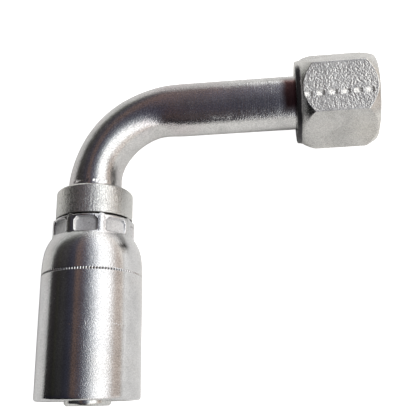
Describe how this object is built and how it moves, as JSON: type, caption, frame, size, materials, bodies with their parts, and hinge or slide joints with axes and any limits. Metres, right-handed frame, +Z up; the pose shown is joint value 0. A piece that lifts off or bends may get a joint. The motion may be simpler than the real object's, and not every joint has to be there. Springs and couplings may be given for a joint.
{
  "type": "hydraulic hose end fitting",
  "caption": "Right-angle bent-tube hydraulic hose end with a crimp shell over a barbed stem and a free-turning hexagonal swivel nut on a flared metal seat.",
  "frame": {"origin": "centre of the seat nose's rim on the port axis, the plane that the drop length is measured to, where the clear thread of the swivel nut begins", "axes": "+X along the port axis, out of the swivel nut's mouth; -Y along the hose axis, out of the crimp shell's open end; +Z up with the fitting lying on its side"},
  "size_m": [0.1235, 0.1261, 0.036],
  "materials": {
    "shell_zinc": "bright zinc plating on drawn steel, satin with fine speckle",
    "stem_zinc": "zinc plating over turned steel with fine tool marks",
    "tube_zinc": "zinc plating on drawn tube, faint scratches",
    "nut_zinc": "matt zinc plating on a forged hexagon, one face indented",
    "braze": "plated braze fillet"
  },
  "bodies": {
    "fitting": {"elbow_tube": "tube_zinc", "hose_stem": "stem_zinc", "crimp_shell": "shell_zinc", "seat_nose": "stem_zinc", "stem_braze_ring": "braze", "seat_braze_ring": "braze"},
    "nut": {"swivel_nut": "nut_zinc"}
  },
  "joints": [
    {"name": "nut_swivel", "type": "hinge", "parent": "fitting", "child": "nut", "pos_m": [0, 0, 0], "axis": [1, 0, 0], "continuous": true}
  ]
}
